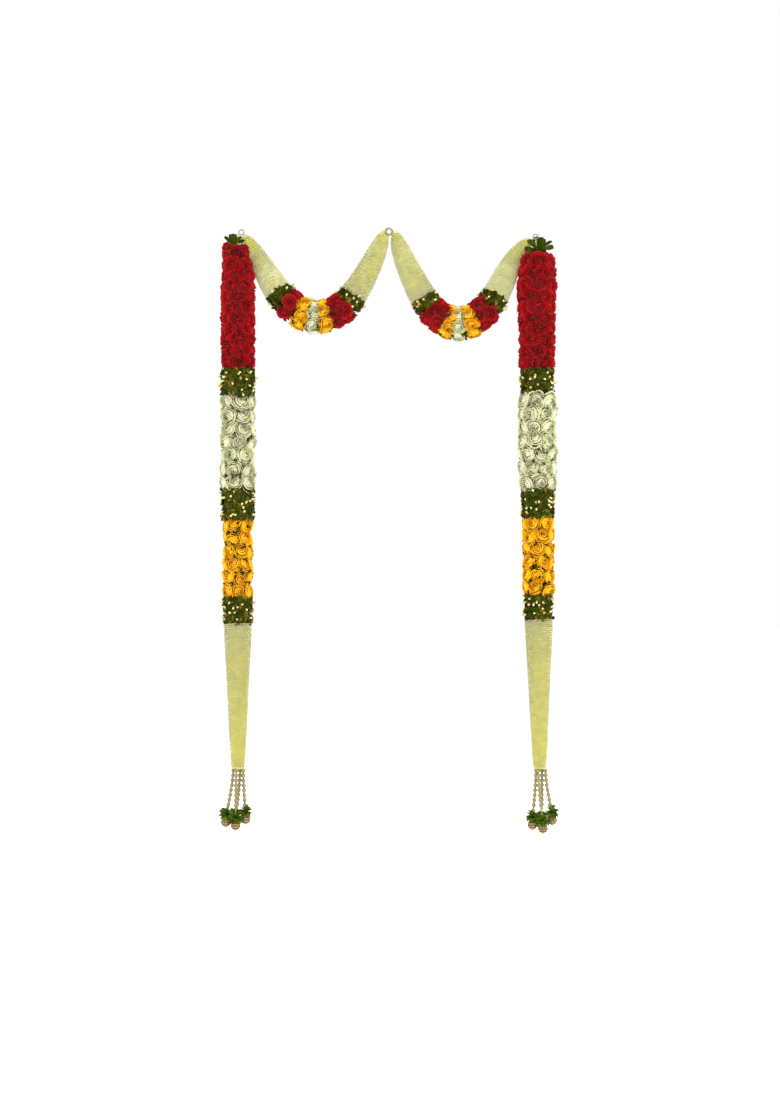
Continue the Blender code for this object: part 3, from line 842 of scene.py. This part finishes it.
def stem_piece(name, length, radius):
    """A bit of stem on +Z."""
    bm = flower_base()
    size = {"segments": 6, "radius1": radius, "radius2": 0.8 * radius, "depth": length}
    middle = Matrix.Translation((0, 0, length / 2))
    bmesh.ops.create_cone(bm, cap_ends=True, **size, matrix=middle)
    for face in bm.faces:
        face.material_index = 2
    return make_mesh(name, bm)


# Shut tuberose buds: waxy, cream to golden, and brownish where one has wilted.
bud_skin, _, split, tint = flower_material("shut tuberose bud", Roughness=0.5, Specular_IOR_Level=0.3)
tone = add_node(bud_skin, "Mix", {0: tint, 6: "#A87A2C", 7: "#ECE2A0"}, **BLEND)
tipped = add_node(bud_skin, "Mix", {0: split["Y"], 6: "#A09A40", 7: tone}, **BLEND)
paint(bud_skin, Base_Color=tipped)

# Cut stems: dry, brown and fibrous, so rough and mottled.
brown_stem = clouded_material("cut brown stem", "#3C2A10", "#7A6430", 500, 2, Roughness=0.7)

COLLAR_LEAVES = [
    leaf_sheet("small_leaf_0", 21 * MM, 11 * MM, 0.35, 35),
    leaf_sheet("small_leaf_1", 18 * MM, 10 * MM, 0.45, 50),
    leaf_sheet("small_leaf_2", 24 * MM, 12 * MM, 0.30, 25),
    leaf_sheet("small_leaf_3", 21 * MM, 9 * MM, 0.50, 60, wilt=0.8),
]
# How close the rows and the leaves in a row lie, how deep a leaf reaches in, and how much
# of a collar each bud has.
COLLAR_ROW = 6 * MM
COLLAR_SPACING = 10.5 * MM
COLLAR_LEAF = 20 * MM
BUD_AREA = 140 * MM * MM
COLLAR_CORE = 14 * MM
BUD = bud_body("tuberose_bud", 16 * MM, 4.6 * MM)
STEM = stem_piece("stem_bit", 17 * MM, 1.1 * MM)


def leaf_collar(node, stretch, girth, spill):
    """Leaves all round a stretch of a line, in close rows, with buds and stems in them.

    spill is how far the outer rows spread over the bands beside them.
    """
    name = node.replace("leaf_collar", "leaves")
    line, start, end = stretch
    chance = random.Random(name)
    bm = flower_base()
    length = end - start
    rows = max(5, round(length / COLLAR_ROW))
    for row in range(rows):
        share = (row + 0.5) / rows
        outer = blend_along(girth, share)
        around = round(math.tau * outer / COLLAR_SPACING)
        for number in range(around):
            along = start + length * share + chance.uniform(-3, 3) * MM
            along += 2 * spill * (share - 0.5)
            angle = math.tau * (number + 0.5 * (row % 2)) / around
            angle += chance.uniform(-0.1, 0.1)
            lean = math.radians(chance.uniform(25, 75))
            turn = chance.uniform(0, math.tau)
            size = chance.uniform(0.85, 1.1)
            tip = along + COLLAR_LEAF * size * math.sin(lean) * math.cos(turn)
            along += max(0.0, start - spill - tip) + min(0.0, end + spill - tip)
            deep = COLLAR_LEAF * size * math.cos(lean) + chance.uniform(1, 8) * MM
            place = facing(place_at(line, along), angle, outer - deep, size=(size, size, size))
            place = place @ Matrix.Rotation(turn, 4, "Z") @ Matrix.Rotation(-lean, 4, "Y")
            place = place @ Matrix.Translation((0, 0, -3 * MM))
            stamp(bm, chance.choice(COLLAR_LEAVES), place, chance.random() ** 1.5)
    buds = round(length * outer / BUD_AREA)
    for number in range(buds):
        along = start + length * chance.uniform(0.08, 0.92)
        angle = math.tau * (number + chance.uniform(0, 0.8)) / buds * 5
        tip = chance.uniform(-1.0, 1.0)
        deep = chance.uniform(9, 13) * MM
        size = (1, 1, chance.uniform(0.7, 1.1))
        place = facing(place_at(line, along), angle, outer - deep, tip, size=size)
        stamp(bm, BUD, place, chance.random() ** 0.5)
        place = facing(place_at(line, along), angle + 0.1, outer - COLLAR_LEAF, -0.5 * tip)
        stamp(bm, STEM, place, chance.random())

    def core_radius(share):
        return blend_along(girth, share) - COLLAR_CORE

    sleeve(bm, line, core_radius, 18, 5, finish=3, start=start, end=end)
    finish_piece(name, bm, [green_leaf, bud_skin, brown_stem, stem_core], "green_leaves", node)


# Each string collar's girth in mm, at its top and its bottom.
COLLAR_GIRTHS = {"upper": (63, 62), "middle": (62, 61), "lower": (56, 54)}
for side in ("left", "right"):
    for label, girth in COLLAR_GIRTHS.items():
        node = f"{side}_{label}_leaf_collar"
        leaf_collar(node, straight_stretch(side, node), [g * MM for g in girth], 4 * MM)
for node, stretch in swag_bands("leaf_collar"):
    leaf_collar(node, stretch, (54 * MM, 54 * MM), 2 * MM)


# Leaf tufts ---------------------------------------------------------------------------
# Fresh broad rose leaves, tied on by their stalks. They stand in a fan on the top of each
# string and hide its knot.

TUFT_LEAVES = [
    leaf_sheet("broad_leaf_0", 40 * MM, 15 * MM, 0.22, 16, 0.88, 1.7, 0, 4, 6),
    leaf_sheet("broad_leaf_1", 36 * MM, 16 * MM, 0.28, 28, 0.88, 1.7, 0, 4, 6),
]
# Each tuft: its leaves, its place aside and up in mm, its size, and how wide it opens.
TUFTS = {"left": (9, -5, -4, 1.02, 52), "right": (13, -2, 0, 1.28, 106)}
for side, (count, aside, rise, size, widest) in TUFTS.items():
    chance = random.Random(f"{side} tuft")
    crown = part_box(f"{side}_red_rose_band")[1].z
    foot = string_spot(side, crown) + Vector((STRING_RED[side][1] + aside, 0, rise)) * MM
    bm = flower_base()
    for number in range(count):
        angle = 2.4 * number
        share = (number + 0.5) / count
        lean = math.radians(4 + widest * share)
        out = Vector((math.cos(angle), 0.7 * math.sin(angle), 0)) * (2 + 7 * share) * size * MM
        grown = size * chance.uniform(0.95, 1.1) * (1 - 0.14 * share)
        turn = math.pi + 1.25 * math.cos(angle) + chance.uniform(-0.3, 0.3)
        place = fan_place(foot + out, angle, lean, turn, grown)
        stamp(bm, chance.choice(TUFT_LEAVES), place, chance.uniform(0.4, 1.0))
    finish_piece(f"{side}_top_leaves", bm, [green_leaf], "green_leaves", f"{side}_top_leaf_tuft")


# Tuberose tubes -----------------------------------------------------------------------
# Thousands of tuberose petals threaded flat in rings, tips outwards, and pushed together
# into a smooth tube. The rings are drawn 3.2 mm apart, which is coarser than they are.

RING_PITCH = 3.2 * MM
RING_PETALS = 44
PETAL_HALF_WIDTH = 0.105

# Tuberose petal: waxy but soft, so sheen and little gloss. It is yellow at its foot and
# cream at its tip, so a tube looks yellower where the eye sees down between the petals.
tuberose, _, split, tint = flower_material(
    "cream tuberose petal",
    Roughness=0.6, Specular_IOR_Level=0.2, Sheen_Weight=1.0, Sheen_Roughness=0.3,
)
reach = {"Value": split["Y"], "From Min": 0.35, "From Max": 0.85}
up_petal = add_node(tuberose, "MapRange", reach)
tone = add_node(tuberose, "Mix", {0: tint, 6: "#D0CC58", 7: "#D6D000"}, **BLEND)
tipped = add_node(tuberose, "Mix", {0: up_petal, 6: tone, 7: "#E3E3BE"}, **BLEND)
paint(tuberose, Base_Color=in_patches(tuberose, tipped, 45.0, 0.25, (0.88, 1.08)))


def petal_ring(name, shut, climb, seed):
    """A ring of overlapping petals round +Z, from radius 0.8 out to 1, climbing +Z.

    Its sizes are shares of the tube's radius. shut pulls the tips back in, and climb is
    how far they reach along +Z. The petals are rolled over one way in a ring with an even
    seed, and the other way in one with an odd.
    """
    chance = random.Random(seed)
    bm = flower_base()
    marks = bm.verts.layers.float_vector["petal"]
    for number in range(RING_PETALS):
        turn = math.tau * (number + chance.uniform(-0.2, 0.2)) / RING_PETALS
        reach = chance.uniform(-0.012, 0.008)
        grown = climb * chance.uniform(0.5, 1.4)
        roll = chance.uniform(0.015, 0.045) * (-1) ** seed
        grid = bmesh.ops.create_grid(bm, x_segments=2, y_segments=2, size=1.0)
        for vert in grid["verts"]:
            mark = Vector((vert.co.x, (vert.co.y + 1) / 2, 1.0))
            upper = max(0.0, vert.co.y)
            aside = mark.x * math.sqrt(1 - 0.4 * upper**2)
            rise = mark.y - 0.12 * upper * mark.x**2
            out = 0.8 + (0.2 + reach) * math.sin(math.pi / 2 * rise) - shut * rise**2
            out += 0.014 * (1 - mark.x**2)
            flat = Vector((out, PETAL_HALF_WIDTH * aside, grown * rise + roll * aside))
            vert.co = Matrix.Rotation(turn, 3, "Z") @ flat
            vert[marks] = mark
    return make_mesh(name, bm)


flat_rings = [petal_ring(f"petal_ring_{n}", 0.0, 0.06, 70 + n) for n in range(4)]
end_rings = [petal_ring(f"petal_ring_end_{n}", 0.04, 0.1, 80 + n) for n in range(2)]


def tuberose_tube(name, node, stretch, radius_at, onwards=True, ripe=0.0):
    """Rings of petals along a stretch of a line on a core, all leaning one way.

    The last two close in over the nose. ripe is 1 for the yellowest petals.
    """
    line, start, end = stretch
    chance = random.Random(name)
    bm = flower_base()
    count = round((end - start) / RING_PITCH)
    for number in range(count):
        share = number / (count - 1)
        along = start + (end - start) * share
        radius = radius_at(share) - 0.8 * MM * (number // 2 % 2)
        left_over = count - 1 - number if onwards else number
        rings = end_rings if left_over < 2 else flat_rings
        ring = rings[(number % 2 + 2 * chance.randrange(2)) % len(rings)]
        flip = 1 if onwards else -1
        place = (
            place_at(line, along)
            @ Matrix.Rotation(chance.uniform(0, math.tau), 4, "Z")
            @ Matrix.Diagonal((radius, radius * flip, 0.5 * (radius + 30 * MM) * flip, 1))
        )
        # Each sunk pair of rings is painted a deeper yellow, painted shade that marks the ribs; the rest
        # of a ring's tint is at random, and deeper for ripe tapers.
        deep = 0.25 * chance.random() + 0.3 * (number // 2 % 2)
        stamp(bm, ring, place, deep + 0.45 * ripe)
    petals = len(bm.verts)

    def core_radius(share):
        return (0.85 - 0.1 * abs(2 * share - 1) ** 12) * radius_at(share)

    shown = {"start": start + 3 * MM, "end": end - 3 * MM}
    sleeve(bm, line, core_radius, 24, max(4, count // 4), **shown)
    bm.verts.ensure_lookup_table()
    for vert in bm.verts[petals:]:
        vert[bm.verts.layers.float["tint"]] = 0.4 + 0.6 * ripe
    finish_piece(name, bm, [tuberose], "tuberose_buds", node)


def taper_radius(share):
    """A long taper's radius, from under its leaf collar down to its whipping."""
    return blend_along(TAPER_GIRTH, share)


TAPER_GIRTH = [g * MM for g in (48.0, 45.0, 40.2, 36.2, 32.8, 28.6, 23.8)]
for side in ("left", "right"):
    node = f"{side}_tuberose_taper"
    stretch = straight_stretch(side, node)
    tuberose_tube(f"{side}_tuberose_petals", node, stretch, taper_radius, ripe=1.0)

# A swag's tubes swell a little from the noses at its rings towards the roses.
TUBE_RADIUS = 29.5 * MM
TUBE_SWELL = 0.075
NOSE_BLUNT = 18 * MM
NOSE_LENGTH = 32 * MM
for node, stretch in swag_bands("tuberose_tube"):

    def tube_radius(share, stretch=stretch):
        line, start, end = stretch
        along = start + (end - start) * share
        from_nose = min(along, line[-1][0] - along)
        nose = 1 - math.exp(-(from_nose + NOSE_BLUNT) / NOSE_LENGTH)
        return (TUBE_RADIUS + TUBE_SWELL * from_nose) * nose

    name = node.replace("tuberose_tube", "tuberose_petals")
    tuberose_tube(name, node, stretch, tube_radius, onwards=stretch[1] > 0.0)


# Pearl strands ------------------------------------------------------------------------
# Four strands of cream plastic pearls hang from the thread under each taper. A flat gilt
# bead sits between two pearls, and a small pearl ends the strand in its leaf cap.

# Gilt metal: bright and smooth, a little deeper where it is worn.
gilt_bead = clouded_material("flat gilt bead", "#8A6A34", "#D9B878", 400, 2, Metallic=1.0, Roughness=0.3)

PEARLS = 8
PEARL_PITCH = 16.2 * MM
PEARL_RADIUS = 7.5 * MM
SMALL_PEARL_RADIUS = 4.8 * MM
BEAD_RADIUS = 4.4 * MM
# Each strand starts this much higher than its CAD node, and this far aside in mm.
TOP_RISE = 3.5 * MM
TOP_SHIFTS = (-5.5, -1.5, -2.7, 4.0)
for side in ("left", "right"):
    for number in range(1, 5):
        node = f"{side}_pearl_strand_{number}"
        low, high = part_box(node)
        ball = middle_of(f"{side}_filigree_ball_{number}")
        foot = Vector((ball.x, ball.y, low.z))
        centre = (low + high) / 2
        top = Vector((2 * centre.x - foot.x, 2 * centre.y - foot.y, high.z + TOP_RISE))
        top.x += TOP_SHIFTS[number - 1] * MM
        line = []
        for step in range(13):
            bowed = top.lerp(foot, (step / 12) ** 1.4)
            line.append(Vector((bowed.x, bowed.y, top.lerp(foot, step / 12).z)))
        line = places_along(line)
        bm = bmesh.new()
        for pearl in range(PEARLS):
            spot = place_at(line, (pearl + 0.5) * PEARL_PITCH)
            gap = place_at(line, (pearl + 1) * PEARL_PITCH)
            ball_at(bm, spot.translation, PEARL_RADIUS, 16, 10)
            bead = ball_at(bm, Vector(), BEAD_RADIUS, 12, 6, finish=1)
            flat = gap @ Matrix.Diagonal((1, 1, 0.5, 1))
            bmesh.ops.transform(bm, matrix=flat, verts=bead)
        last = place_at(line, PEARLS * PEARL_PITCH + 5.5 * MM)
        ball_at(bm, last.translation, SMALL_PEARL_RADIUS, 14, 8)
        sleeve(bm, line, THREAD_RADIUS, 6, 6, finish=2)
        materials = [cream_pearl, gilt_bead, cotton]
        finish_piece(f"{side}_pearls_{number}", bm, materials, "cream_pearls", node)


# Leaf caps ----------------------------------------------------------------------------
# Young green leaves, threaded by their stalks under the last pearl. They sit on each ball
# as a thick ruff and hide the end of its strand.

# Each layer of a ruff: its number of leaves, how far they lean and how high they start.
CAP_LAYERS = ((5, 20, 11), (8, 40, 9), (10, 62, 6), (10, 86, 3), (8, 110, 1))
cap_green = leaf_material("young green leaf", "#2C4404", "#5C7C14", "#7C9430")
CAP_LEAF = leaf_sheet("cap_leaf", 22 * MM, 13 * MM, 0.3, 40, 0.93)
for side in ("left", "right"):
    chance = random.Random(f"{side} caps")
    bm = flower_base()
    for number in range(1, 5):
        ball = middle_of(f"{side}_filigree_ball_{number}")
        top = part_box(f"{side}_filigree_ball_{number}")[1].z
        crest = Vector((ball.x, ball.y, top + 3 * MM))
        for count, lean, rise in CAP_LAYERS:
            first = chance.uniform(0, 1)
            for leaf in range(count):
                angle = math.tau * (leaf + first) / count + chance.uniform(-0.2, 0.2)
                grown = chance.uniform(0.85, 1.1)
                foot = crest + spot_round(angle, 3 * MM, rise * MM)
                leaned = math.radians(lean + chance.uniform(-12, 12))
                turn = math.pi + chance.uniform(-0.7, 0.7)
                place = fan_place(foot, angle, leaned, turn, grown)
                stamp(bm, CAP_LEAF, place, chance.uniform(0.1, 1.0))
        core = ball_at(bm, crest + Vector((0, 0, 5 * MM)), 9 * MM, 10, 6, finish=1)
        marks = bm.verts.layers.float_vector["petal"]
        for vert in core:
            vert[marks] = (0.5, 0.2, 0.0)
    node = f"{side}_leaf_cap_cluster"
    finish_piece(f"{side}_leaf_caps", bm, [cap_green, stem_core], "green_leaves", node)


# Filigree balls -----------------------------------------------------------------------
# Hollow balls of stamped openwork, copper gold: ribs run round them over a dark sphere
# that is painted shade for the hollow inside, with fine uprights between, and a small knob
# closes the bottom.

# Stamped gilt: a duller metal than the beads, dented and darker in patches.
gilt = clouded_material(
    "copper gilt filigree", "#84683C", "#D8C08C", 220, 4, (0.5, 0.4 * MM),
    Metallic=1.0, Roughness=0.34,
)
# A dark, half matt sphere inside the ball, seen between the ribs: painted shade for the
# hollow inside.
hollow_shade_sphere = clouded_material("painted shade inside filigree ball", "#2E2010", "#6A4E2E", 300, 2, Roughness=0.5)

BALL_RADIUS = 17.5 * MM
BALL_RIBS = 6
BALL_UPRIGHTS = 16
RIB_WIRE = 1.3 * MM
UPRIGHT_WIRE = 0.55 * MM
KNOB_RADIUS = 2 * MM
for side in ("left", "right"):
    for number in range(1, 5):
        node = f"{side}_filigree_ball_{number}"
        low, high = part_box(node)
        centre = Vector(((low.x + high.x) / 2, (low.y + high.y) / 2, high.z - 16.5 * MM))
        bm = bmesh.new()
        # The dark sphere inside: painted shade for the hollow.
        ball_at(bm, centre, BALL_RADIUS - 2.2 * MM, 16, 10, finish=1)
        for rib in range(BALL_RIBS):
            down = math.pi * (rib + 0.5) / BALL_RIBS
            radius = (BALL_RADIUS - 1.1 * MM) * math.sin(down)
            height = (BALL_RADIUS - 1.1 * MM) * math.cos(down)
            hoop(bm, centre + Vector((0, 0, height)), radius, RIB_WIRE, 24)
        for upright in range(BALL_UPRIGHTS):
            angle = math.tau * upright / BALL_UPRIGHTS
            arc = []
            for step in range(9):
                down = math.pi * (0.06 + 0.88 * step / 8)
                out = (BALL_RADIUS - 1.6 * MM) * math.sin(down)
                height = (BALL_RADIUS - 1.6 * MM) * math.cos(down)
                arc.append(centre + spot_round(angle, out, height))
            sleeve(bm, places_along(arc), UPRIGHT_WIRE, 4, 8)
        knob = Vector((centre.x, centre.y, low.z + KNOB_RADIUS))
        ball_at(bm, knob, KNOB_RADIUS, 12, 8)
        neck = places_along([centre - Vector((0, 0, BALL_RADIUS - 2 * MM)), knob])
        sleeve(bm, neck, 0.8 * MM, 6, 1)
        finish_piece(f"{side}_gilt_ball_{number}", bm, [gilt, hollow_shade_sphere], "gilt_filigree", node)


# Floor and light ----------------------------------------------------------------------
# A plain white floor just under the tassels. One soft lamp stands behind the camera and
# two nearer the garland, to the left and right, and three light its sides and its back.

FLOOR_GAP = 60 * MM
bm = bmesh.new()
bmesh.ops.create_grid(bm, x_segments=1, y_segments=1, size=30.0)
bmesh.ops.translate(bm, verts=bm.verts[:], vec=(0, 0, cad_box[0].z - FLOOR_GAP))
floor = bpy.data.objects.new("floor", make_mesh("floor", bm))
bpy.context.collection.objects.link(floor)
# White floor paint: matt, and bright enough to the eye to be one with the backdrop.
floor_paint = new_material(
    "white floor paint", Roughness=0.9, Base_Color="#F4F4F4", Emission_Color="#FFFFFF"
)
floor.data.materials.append(floor_paint)
rays = add_node(floor_paint, "LightPath").node.outputs
looks = {0: rays["Is Camera Ray"], 1: rays["Is Glossy Ray"]}
seen = add_node(floor_paint, "Math", looks, operation="MAXIMUM")
glow = add_node(floor_paint, "Math", {0: seen, 1: 0.55}, operation="MULTIPLY")
paint(floor_paint, Emission_Strength=glow)

world = bpy.data.worlds.new("white room")
bpy.context.scene.world = world
world.use_nodes = True
looked_at = add_node(world, "LightPath", out="Is Camera Ray")
level = add_node(world, "MapRange", {"Value": looked_at, "To Min": 0.7, "To Max": 1.0})
backdrop = world.node_tree.nodes["Background"]
fill_inputs(world.node_tree, backdrop, {"Color": "#FFFFFF", "Strength": level})

# Square soft boxes that face the middle of the garland: place, width and power.
LAMPS = {
    "front lamp": ((0.3, -11.5, -0.2), 3.0, 450),
    "key lamp": ((-1.5, -5.0, 1.2), 2.4, 60),
    "fill lamp": ((2.1, -4.9, 0.2), 2.6, 92),
    "left side lamp": ((-3.2, -0.4, -0.6), 2.4, 45),
    "right side lamp": ((3.2, -0.4, -0.6), 2.4, 45),
    "back lamp": ((0.5, 3.6, 1.6), 2.4, 160),
}
for name, (spot, width, power) in LAMPS.items():
    lamp = bpy.data.lights.new(name, "AREA")
    lamp.size = width
    lamp.energy = power
    holder = bpy.data.objects.new(name, lamp)
    holder.location = spot
    aim = Vector((0, 0, -0.9)) - Vector(spot)
    holder.rotation_euler = aim.to_track_quat("-Z", "Y").to_euler()
    bpy.context.collection.objects.link(holder)

bpy.context.scene.view_settings.view_transform = "Standard"
